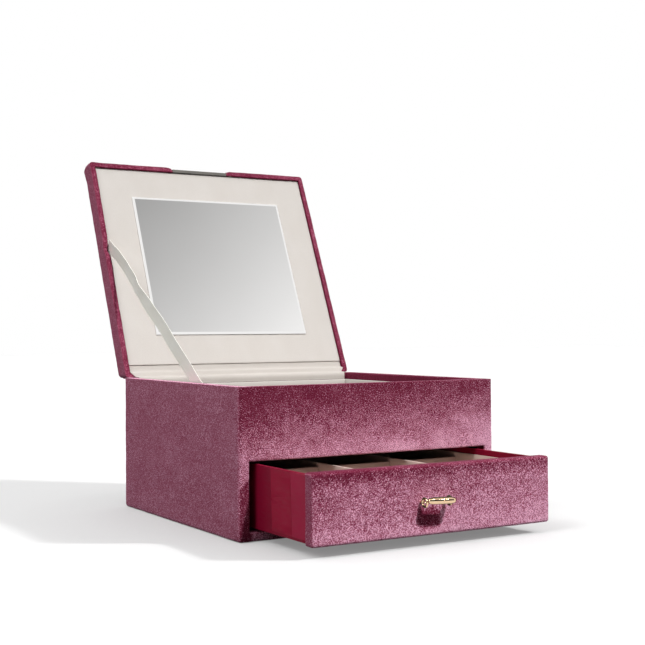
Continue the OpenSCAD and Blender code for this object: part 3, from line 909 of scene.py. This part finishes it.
def make_drawer_front_velvet():
    """The velvet of the drawer front, drawn in a little where the eyes are screwed through it."""
    piece = block("drawer_front_cover", front_low, front_high)
    right, back = front_high.x, front_high.y
    bevel_edges(piece, 2.4 * MM, lambda e: abs(direction(e).y) > 0.9 and near(abs(middle(e).x), right), 4)
    bevel_edges(piece, 3.2 * MM, lambda e: on_plane(e, 1, front_low.y), 5)
    bevel_edges(piece, 2.4 * MM, lambda e: on_plane(e, 1, back) and abs(direction(e).z) > 0.9, 4)
    bevel_edges(piece, 0.8 * MM, lambda e: on_plane(e, 1, back), 2)
    grid(piece, 2.6 * MM)
    wrinkle(piece)
    plump(piece, (1.006, 1, 1))
    eyes_x, eyes_z = (eyes_low.x + eyes_high.x) / 2, (eyes_low.z + eyes_high.z) / 2
    for point in piece.data.vertices:
        away = math.hypot(point.co.x - eyes_x, point.co.z - eyes_z) / (36 * MM)
        if point.co.y < front_low.y + 3 * MM and away < 1:
            drawn_in = 1.5 * MM * (1 - away * away) ** 2 - 0.2 * MM
            point.co.y = max(point.co.y, front_low.y + drawn_in)
    smooth(piece)
    dress(piece, front_cloth, "drawer", ["drawer_front_velvet", "drawer_front_board"])


# ---------------------------------------------------------------- cloth-covered cards and pads


def covered(node, body, radius=0.6 * MM, soft=0.12 * MM, step=6 * MM):
    """A card covered with cloth: its edges are rounded and its faces a little uneven."""
    piece = copy_node(node, node + "_cloth")
    ease(piece, radius, 2)
    grid(piece, step)
    soften(piece, soft)
    smooth(piece, 50)
    # the drawer's cards take the pinker suede, painted bounce light
    return dress(piece, drawer_tinted_suede if body == "drawer" else beige_suede, body, [node])


make_base()
make_case_velvet()
make_lid_velvet()
make_drawer_front_velvet()
linings = ("left_lining", "right_lining", "front_lining", "back_lining")
for name in (*linings, "cross_divider", "left_divider", "right_divider"):
    covered("tray_" + name, "case")
for name in (*linings, "left_divider", "right_divider", "cross_divider"):
    covered("drawer_" + name, "drawer", radius=0.4 * MM)
for name, body in (("tray_floor_pad", "case"), ("drawer_floor_pad", "drawer")):
    covered(name, body, 0.7 * MM, 0.3 * MM, 5 * MM)


def make_ring_rolls():
    """Five foam rolls under cloth, side by side, in one piece."""
    low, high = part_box("ring_rolls")
    pitch = 13.3 * MM
    radius = (high.z - low.z) / 2
    rolls = []
    for i in range(5):
        deselect()
        bpy.ops.mesh.primitive_cylinder_add(
            vertices=28,
            radius=radius - 0.1 * MM,
            depth=high.x - low.x,
            location=(0, low.y + radius + pitch * i, (low.z + high.z) / 2),
            rotation=(0, math.pi / 2, 0),
        )
        roll = bpy.context.active_object
        bpy.ops.object.transform_apply(location=True, rotation=True, scale=True)
        bevel_edges(roll, 2.2 * MM, lambda e: on_plane(e, 0, low.x, high.x))
        cut(roll, 0, cells(low.x, high.x, 40))
        rolls.append(roll)
    piece = join(rolls, "ring_rolls_cloth")
    soften(piece, 0.2 * MM)
    smooth(piece)
    dress(piece, beige_suede, "case", ["ring_rolls"])


make_ring_rolls()


def make_paper_lap(side, name, start, seam, thin, material):
    """Covering paper on one side of the drawer, from its start to a seam. Its cut end leans a little."""
    word = "left" if side < 0 else "right"
    low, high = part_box("drawer_" + word + "_side")
    outer = low.x if side < 0 else high.x
    near_x, far_x = sorted((outer, outer + side * thin))
    piece = block(name + "_" + word, (near_x, start, low.z + 0.3 * MM), (far_x, seam, high.z - 0.3 * MM))
    cut(piece, 2, [low.z + (high.z - low.z) * i / 12 for i in range(1, 12)])
    pick(piece, "VERT", lambda v: near(v.co.y, seam) or near(v.co.y, start))
    bpy.ops.transform.vertex_random(offset=0.2 * MM, uniform=0, normal=0, seed=4)
    done()
    for point in piece.data.vertices:
        point.co.x = min(max(point.co.x, near_x), far_x)
        # the end behind the drawer's front stays straight
        if point.co.y > -200 * MM:
            point.co.y += 1.2 * MM - 2.2 * MM * (1 - (point.co.z - low.z) / (high.z - low.z))
    smooth(piece)
    dress(piece, material, "drawer")


lap_start, lap_seam = front_high.y + 0.1 * MM, -182.9 * MM
turning_start, turning_end = -181.8 * MM, -150 * MM
for lap_side in (-1, 1):
    make_paper_lap(lap_side, "paper_lap", lap_start, lap_seam, 0.5 * MM, bright_crimson_paper)
    make_paper_lap(lap_side, "paper_turning", turning_start, turning_end, 0.12 * MM, crimson_paper)


def make_lid_lining():
    """The lining panel of the lid: suede over a thin pad, its edges rolled under."""
    half = LID_HALF_WIDTH - RIM + 0.1 * MM
    end = LID_LENGTH + LID_FULLER - RIM + 0.1 * MM
    piece = block("lid_lining_cloth", (-half, -end, RECESS), (half, -14 * MM, RECESS + 2 * MM))
    bevel_edges(piece, 0.3 * MM, lambda e: on_plane(e, 2, RECESS), 2)
    grid(piece, 4 * MM, (0, 1))
    soften(piece, 0.3 * MM)
    smooth(piece)
    raise_lid(piece)
    dress(piece, beige_suede, "lid", ["lid_lining"])


make_lid_lining()


def strip_along(name, points, side, width, columns):
    """A strip of cloth, drawn out step by step along a line of points, then cut into columns."""
    deselect()
    bpy.ops.mesh.primitive_plane_add(size=1)
    piece = bpy.context.active_object
    piece.name = name
    first = points[1] - points[0]
    place = facing((points[0] + points[1]) / 2, side, first.normalized())
    place_by(piece, place @ Matrix.Diagonal((width, first.length, 1, 1)))
    for here, there in zip(points[1:], points[2:]):
        pick(piece, "EDGE", lambda e: (middle(e) - here).length < 0.02 * MM)
        bpy.ops.mesh.extrude_edges_move(TRANSFORM_OT_translate={"value": there - here})
        done()
    open_whole(piece)
    for i in range(1, columns):
        bpy.ops.mesh.select_all(action="SELECT")
        bpy.ops.mesh.bisect(plane_co=points[0] + side * width * (i / columns - 0.5), plane_no=side)
    bpy.ops.mesh.select_all(action="SELECT")
    bpy.ops.mesh.normals_make_consistent(inside=False)
    done()
    return piece


def resample(points, step):
    """The points of a line, about one step apart."""
    out = [points[0]]
    for a, b in zip(points, points[1:]):
        count = max(1, round((b - a).length / step))
        out += [a + (b - a) * (i + 1) / count for i in range(count)]
    return out


def round_corners(points):
    """Cuts the corners of a line twice, so that cloth bends instead of creasing."""
    for _ in range(2):
        new = [points[0]]
        for a, b in zip(points, points[1:]):
            new += [a + (b - a) * 0.25, a + (b - a) * 0.75]
        points = [*new, points[-1]]
    return points


def make_hinge_lining():
    """The inner hinge cloth: as wide as the lid's recess above, and as wide as the tray below."""
    low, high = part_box("hinge_lining")
    wall_y, rim_z = case_high.y - WALL, case_high.z + 0.6 * MM
    path = [
        raised(0, 13.7 * MM, 3.6 * MM),
        raised(0, 6.6 * MM, 3.5 * MM),
        raised(0, 5.6 * MM, -0.6 * MM),
        raised(0, 1.0 * MM, -0.9 * MM),
        Vector((0, case_high.y - 1.5 * MM, rim_z)),
        Vector((0, wall_y - 0.5 * MM, rim_z)),
        Vector((0, wall_y - 0.6 * MM, low.z)),
    ]
    path = resample(round_corners(path), 1.5 * MM)
    piece = strip_along("hinge_lining_cloth", path, ACROSS, high.x - low.x, 56)
    # the cloth widens towards the lid, and has soft ripples along its length
    lid_half = LID_HALF_WIDTH - RIM - 0.2 * MM
    for point in piece.data.vertices:
        share = min(1, max(0, (point.co.z - case_high.z + 1 * MM) / (6 * MM)))
        point.co.x *= 1 + share * (lid_half / high.x - 1)
        ripple = math.sin(point.co.x * 31 + 0.6) * math.sin((point.co.z + point.co.y) * 420)
        point.co.y -= 0.2 * MM * ripple * share
    apply_modifier(piece, "SOLIDIFY", thickness=0.6 * MM, offset=0)
    soften(piece, 0.5 * MM)
    smooth(piece, 60)
    # the hinge cloth takes the darker suede, as painted shade
    dress(piece, hinge_shade_suede, None, ["hinge_lining"])
    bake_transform(piece)


def make_hinge_spine():
    """The velvet strip over the outside of the hinge."""
    half = LID_HALF_WIDTH - 2.5 * MM
    outer_y = case_high.y + 0.6 * MM
    path = [
        Vector((0, outer_y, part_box("hinge_spine")[0].z)),
        Vector((0, outer_y, case_high.z - 0.9 * MM)),
        raised(0, LID_LEAN - 0.2 * MM, LID_THICKNESS + 0.5 * MM),
        raised(0, 27 * MM, LID_THICKNESS + 0.5 * MM),
    ]
    path = resample(round_corners(path), 2.4 * MM)
    piece = strip_along("hinge_spine_cloth", path, ACROSS, 2 * half, 60)
    apply_modifier(piece, "SOLIDIFY", thickness=0.7 * MM, offset=0)
    soften(piece, 0.4 * MM)
    smooth(piece, 60)
    dress(piece, lid_cloth, None, ["hinge_spine"])
    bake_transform(piece)


make_hinge_lining()
make_hinge_spine()
make_lid_boards()


def eased(stops, share):
    """A value between stops (share, value), with eased steps."""
    for (start, first), (end, last) in zip(stops, stops[1:]):
        if share <= end:
            part = min(1, max(0, (share - start) / (end - start)))
            return first + (last - first) * part * part * (3 - 2 * part)
    return stops[-1][1]


def make_ribbon():
    """The ribbon stay: flat satin from the case's left wall to the lid, a little kinked near the lid."""
    width, tail = 12 * MM, 13 * MM
    case_tie = Vector((-119.6 * MM, case_high.y - RIBBON_REACH, HINGE.z))
    lid_tie = raised(-122.8 * MM, RIBBON_REACH, 0)
    run = (lid_tie - case_tie).normalized()
    low, high = case_tie - run * tail, lid_tie + run * 4 * MM
    across = ACROSS.cross(run).normalized()
    steps = 72
    path = [low + (high - low) * (i / steps) for i in range(steps + 1)]
    piece = strip_along("ribbon_stay_cloth", path, across, width, 4)
    # at shares of its length: how many millimetres the ribbon swings to the right, and how far it is turned
    swings = (
        (0, 0), (0.1, -0.2), (0.27, 0.1), (0.4, 1.2), (0.52, 0.4), (0.65, 0.2),
        (0.74, 2.4), (0.84, 2.9), (0.91, 2.4), (0.955, 0.5), (1, 0),
    )
    turns = (
        (0, 0), (0.05, 0), (0.14, 0.16), (0.4, 0.2), (0.55, 0.18),
        (0.64, -0.04), (0.74, 0.06), (0.93, 0.02), (1, 0),
    )
    # it is a little hollow across its width
    hollow = 0.3 * MM
    for point in piece.data.vertices:
        share = (point.co - low).dot(run) / (high - low).length
        side = (point.co - low).dot(across)
        swing, turn = eased(swings, share) * MM, eased(turns, share)
        point.co += ACROSS * (side * math.sin(turn) + swing) - across * side * (1 - math.cos(turn))
        point.co.x += hollow * math.cos(math.pi * side / width) * math.sin(math.pi * min(1, max(0, share)))
    apply_modifier(piece, "SOLIDIFY", thickness=0.45 * MM, offset=0)
    smooth(piece, 60)
    dress(piece, satin_ribbon, None, ["ribbon_stay"])
    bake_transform(piece)


make_ribbon()


def make_rod(points):
    """A round rod along a line of points (place, radius in millimetres)."""
    curve = bpy.data.curves.new("bail_rod", "CURVE")
    curve.dimensions = "3D"
    curve.bevel_depth = 1 * MM
    curve.bevel_resolution = 6
    curve.use_fill_caps = True
    line = curve.splines.new("POLY")
    line.points.add(len(points) - 1)
    for knot, (place, radius) in zip(line.points, points):
        knot.co = (*place, 1)
        knot.radius = radius
    rod = bpy.data.objects.new("bail_rod", curve)
    bpy.context.scene.collection.objects.link(rod)
    take(rod)
    bpy.ops.object.convert(target="MESH")
    return bpy.context.active_object


def make_bail():
    """The bail: one rod, thin where it turns in the eyes, bent forward and swelling into its grip."""
    pins = Vector(((eyes_low.x + eyes_high.x) / 2, -221.4 * MM, (eyes_low.z + eyes_high.z) / 2))
    lift = math.radians(15)
    out = Vector((0, -math.cos(lift), math.sin(lift)))
    # across from the middle, outwards from the pins, radius: in millimetres
    grip = (
        (0, 6.9, 3.0), (5, 6.9, 2.95), (9.6, 6.7, 2.75), (11.4, 6.4, 2.4),
        (12.4, 6.1, 1.9), (12.9, 5.9, 1.2), (13.1, 5.8, 0.3),
    )
    arm = (
        (9.6, 6.2, 1.5), (9.55, 4.4, 1.4), (9.55, 2.4, 1.15), (9.8, 0.9, 0.95),
        (10.6, 0.1, 0.88), (11.6, 0, 0.88), (13.4, 0, 0.88),
    )

    def mirrored(points):
        return [(-x, reach, radius) for x, reach, radius in points]

    def placed(x, reach):
        """A point of the bail, which hangs a little lower at its right."""
        return pins + Vector((x * MM, 0, -0.045 * x * MM - 0.3 * MM)) + out * reach * MM

    rods = [
        make_rod([(placed(x, reach), radius) for x, reach, radius in points])
        for points in (mirrored(grip[:0:-1]) + list(grip), arm, mirrored(arm))
    ]
    piece = join(rods, "bail_rod")
    apply_modifier(piece, "REMESH", mode="VOXEL", voxel_size=0.22 * MM)
    apply_modifier(piece, "SMOOTH", factor=0.5, iterations=4)
    smooth(piece, 60)
    dress(piece, gilt, "bail", ["bail"])


make_bail()


# ---------------------------------------------------------------- finishes of boards, papers, glass and metal

finishes = {
    raw_board: ("left_wall", "right_wall", "back_wall", "upper_front_panel", "lid_front_rail"),
    # the bay's papers: near-black, painted shade
    bay_shade_paper: ("bay_floor", "bay_left_guide", "bay_right_guide", "bay_back_lining", "middle_shelf"),
    deep_crimson_paper: (
        "drawer_inner_front", "drawer_left_side", "drawer_right_side", "drawer_back", "drawer_bottom",
    ),
    foam: ("ring_bed", "lid_filler"),
    silvered_glass: ("mirror",),
    magnet_plating: ("closure_magnets",),
    gilt: ("bail_eyes", "eye_nuts"),
}
for material, names in finishes.items():
    for name in names:
        nodes[name].data.materials.clear()
        nodes[name].data.materials.append(material)


# ---------------------------------------------------------------- camera, floor and light

# strengths of the world on the object, of the floor, and of the lamps
SKY = 0.16
FLOOR_BOUNCE = 0.18
FLOOR_COLOUR = 0.42
FLOOR_GLOW = 0.6
KEY = 3.2
SIDE = 0.4
FILL = 1.5
FLOOR_LAMP = 3.2
CAMERA_PLACE = Vector((-0.5639, -0.9876, 0.1705))
HANDLE_PLACE = Vector((0.016, -0.228, 0.037))


def make_camera():
    data = bpy.data.cameras.new("camera")
    data.sensor_width = 36
    data.lens = 66.61
    data.clip_end = 50
    camera = bpy.data.objects.new("camera", data)
    bpy.context.scene.collection.objects.link(camera)
    bpy.context.scene.camera = camera
    yaw, pitch, roll = math.radians(30.73), math.radians(0.44), math.radians(-0.36)
    forward = Vector((math.sin(yaw) * math.cos(pitch), math.cos(yaw) * math.cos(pitch), math.sin(pitch)))
    level = Vector((math.cos(yaw), -math.sin(yaw), 0))
    upright = level.cross(forward)
    right = level * math.cos(roll) + upright * math.sin(roll)
    up = upright * math.cos(roll) - level * math.sin(roll)
    camera.matrix_world = facing(CAMERA_PLACE, right, up)


make_camera()


def make_floor():
    """A pale floor that glows for the camera and for reflections, and throws little light on the object."""
    deselect()
    bpy.ops.mesh.primitive_plane_add(size=16, location=(0, 0, -0.0003))
    floor = bpy.context.active_object
    floor.name = "studio_floor"
    material, wires = bare_material("pale_floor")

    def matt(tone):
        made = wires.node("ShaderNodeBsdfDiffuse")
        made.inputs["Color"].default_value = (tone, tone, tone, 1)
        return made.outputs[0]

    # painted shade: the glow is weaker close to the box
    nearby = wires.node("ShaderNodeAmbientOcclusion", samples=8)
    nearby.inputs["Distance"].default_value = 0.16
    glow = wires.node("ShaderNodeEmission")
    wires.put(glow.inputs["Strength"], wires.span(nearby.outputs["AO"], 0, 1, 0.35 * FLOOR_GLOW, FLOOR_GLOW))
    shown = wires.node("ShaderNodeAddShader")
    wires.fill(shown, {0: matt(FLOOR_COLOUR), 1: glow.outputs[0]})
    seen = wires.seen_by("Is Camera Ray", "Is Glossy Ray")
    out = wires.node("ShaderNodeOutputMaterial")
    wires.put(out.inputs["Surface"], wires.either(seen, matt(FLOOR_BOUNCE), shown.outputs[0]))
    floor.data.materials.append(material)
    return floor


floor = make_floor()


def make_world():
    """A surround that is white for the camera and for reflections, and weak as a light."""
    world = bpy.data.worlds.new("studio")
    bpy.context.scene.world = world
    world.use_nodes = True
    world.node_tree.nodes.clear()
    wires = Wires(world.node_tree)
    seen = wires.seen_by("Is Camera Ray", "Is Glossy Ray", "Is Transmission Ray")
    sky = wires.node("ShaderNodeBackground")
    wires.fill(sky, {"Color": (1, 1, 1, 1), "Strength": wires.span(seen, 0, 1, SKY, 1.0)})
    out = wires.node("ShaderNodeOutputWorld")
    wires.put(out.inputs["Surface"], sky.outputs[0])


make_world()


def make_card(name, low, high, matrix, material):
    """A studio card between two corners in its own plane, seen only in reflections."""
    deselect()
    bpy.ops.mesh.primitive_plane_add(size=1)
    card = bpy.context.active_object
    card.name = name
    low, high = Vector(low).to_3d(), Vector(high).to_3d()
    width, height, _ = high - low
    place_by(card, Matrix.Translation((low + high) / 2) @ Matrix.Diagonal((width, height, 1, 1)))
    card.matrix_world = matrix
    card.data.materials.append(material)
    for ray in ("camera", "diffuse", "shadow", "transmission"):
        setattr(card, "visible_" + ray, False)


def make_mirror_card():
    """A glowing studio card that the mirror shows, a painted reflection: grey at its upper left, paler
    towards its lower right.
    """
    half, near_s, far_s = 88 * MM, 46.6 * MM, 207.6 * MM
    corner_grey, paler_right, paler_down = 166 / 255, 42 / 255, 40 / 255
    away, room = 0.8, 0.012
    normal = LID_TURN @ Vector((0, 0, -1))

    def bounce(point):
        """The direction in which the mirror sends a line of sight on."""
        ray = (point - CAMERA_PLACE).normalized()
        return ray - 2 * ray.dot(normal) * normal

    centre = raised(0, (near_s + far_s) / 2, RECESS)
    axis = bounce(centre)
    card_place = centre + axis * away
    across = Vector((0, 0, 1)).cross(axis).normalized()
    up = axis.cross(across).normalized()

    def on_card(x, s):
        """The card's place that the mirror shows at x across and s along the lid."""
        point = raised(x, s, RECESS)
        ray = bounce(point)
        hit = point + ray * ((card_place - point).dot(axis) / ray.dot(axis)) - card_place
        return hit.dot(across), hit.dot(up)

    top_left, top_right = on_card(-half, far_s), on_card(half, far_s)
    low_left, low_right = on_card(-half, near_s), on_card(half, near_s)
    xs, ys = zip(top_left, top_right, low_left, low_right)
    material, wires = bare_material("mirror_card_painted_reflection")
    x, y, _ = wires.separate(wires.node("ShaderNodeTexCoord").outputs["Object"])
    # two shares, 0 to 1: from the mirror's upper left corner to its upper right, and to its lower left
    shares = Matrix(
        (
            (top_right[0] - top_left[0], low_left[0] - top_left[0]),
            (top_right[1] - top_left[1], low_left[1] - top_left[1]),
        )
    ).inverted()
    east, north = wires.less(x, top_left[0]), wires.less(y, top_left[1])
    rightwards, downwards = (wires.add(wires.times(east, a), wires.times(north, b)) for a, b in shares)
    shown = wires.add(wires.times(rightwards, paler_right), wires.times(downwards, paler_down))
    shown = wires.add(shown, corner_grey, clamp=True)
    # the greys are given as they show on screen, and made linear here
    glow = wires.node("ShaderNodeEmission")
    wires.put(glow.inputs["Strength"], wires.times(wires.math("POWER", shown, 2.2), 1.06))
    out = wires.node("ShaderNodeOutputMaterial")
    wires.put(out.inputs["Surface"], glow.outputs[0])
    low, high = (min(xs) - room, min(ys) - room), (max(xs) + room, max(ys) + room)
    make_card("mirror_card", low, high, facing(card_place, across, up), material)


make_mirror_card()


def make_handle_flag(name, angle, away, size):
    """A small black card over the handle, seen only by the gilt, for its dark bands."""
    rise = math.radians(angle)
    centre = HANDLE_PLACE + away * Vector((0, -math.cos(rise), math.sin(rise)))
    up = Vector((0, math.sin(rise), math.cos(rise)))
    material, wires, black, _ = new_material(name + "_cloth")
    black.inputs["Base Color"].default_value = (0.02, 0.018, 0.015, 1)
    clear = wires.node("ShaderNodeBsdfTransparent")
    # only rays from as near as the handle meet it
    near_ray = wires.math("LESS_THAN", wires.node("ShaderNodeLightPath").outputs["Ray Length"], 0.25)
    out = material.node_tree.nodes["Material Output"]
    wires.put(out.inputs["Surface"], wires.either(near_ray, clear.outputs[0], black.outputs[0]))
    half = Vector(size) / 2
    make_card(name, -half, half, facing(centre, ACROSS, up), material)


for number, angle in enumerate((12, 38, 95)):
    make_handle_flag("handle_flag_%d" % number, angle, away=0.12, size=(0.30, 0.056))
make_handle_flag("handle_flag_back", 178, away=0.0097, size=(0.09, 0.05))


def sun(name, strength, azimuth, height, softness, on_floor=None):
    """A distant lamp: azimuth is from the box's front towards its right, in degrees.

    on_floor: True for a lamp on the floor alone, False for one that spares the floor.
    """
    lamp = bpy.data.lights.new(name, "SUN")
    lamp.energy = strength
    lamp.angle = math.radians(softness)
    holder = bpy.data.objects.new(name, lamp)
    bpy.context.scene.collection.objects.link(holder)
    azimuth, height = math.radians(azimuth), math.radians(height)
    level = math.cos(height)
    towards = Vector((math.sin(azimuth) * level, -math.cos(azimuth) * level, math.sin(height)))
    holder.location = towards * 3
    holder.rotation_euler = (-towards).to_track_quat("-Z", "Y").to_euler()
    if on_floor is not None:
        lit = bpy.data.collections.new(name + "_reach")
        lit.objects.link(floor)
        lit.collection_objects[0].light_linking.link_state = "INCLUDE" if on_floor else "EXCLUDE"
        holder.light_linking.receiver_collection = lit


sun("key_lamp", KEY, 20, 53, 4, on_floor=False)
sun("side_lamp", SIDE, 51.5, 38, 5, on_floor=False)
sun("fill_lamp", FILL, -82, 48, 30)
sun("floor_lamp", FLOOR_LAMP, 57, 38, 5, on_floor=True)
bpy.context.scene.view_settings.view_transform = "Standard"
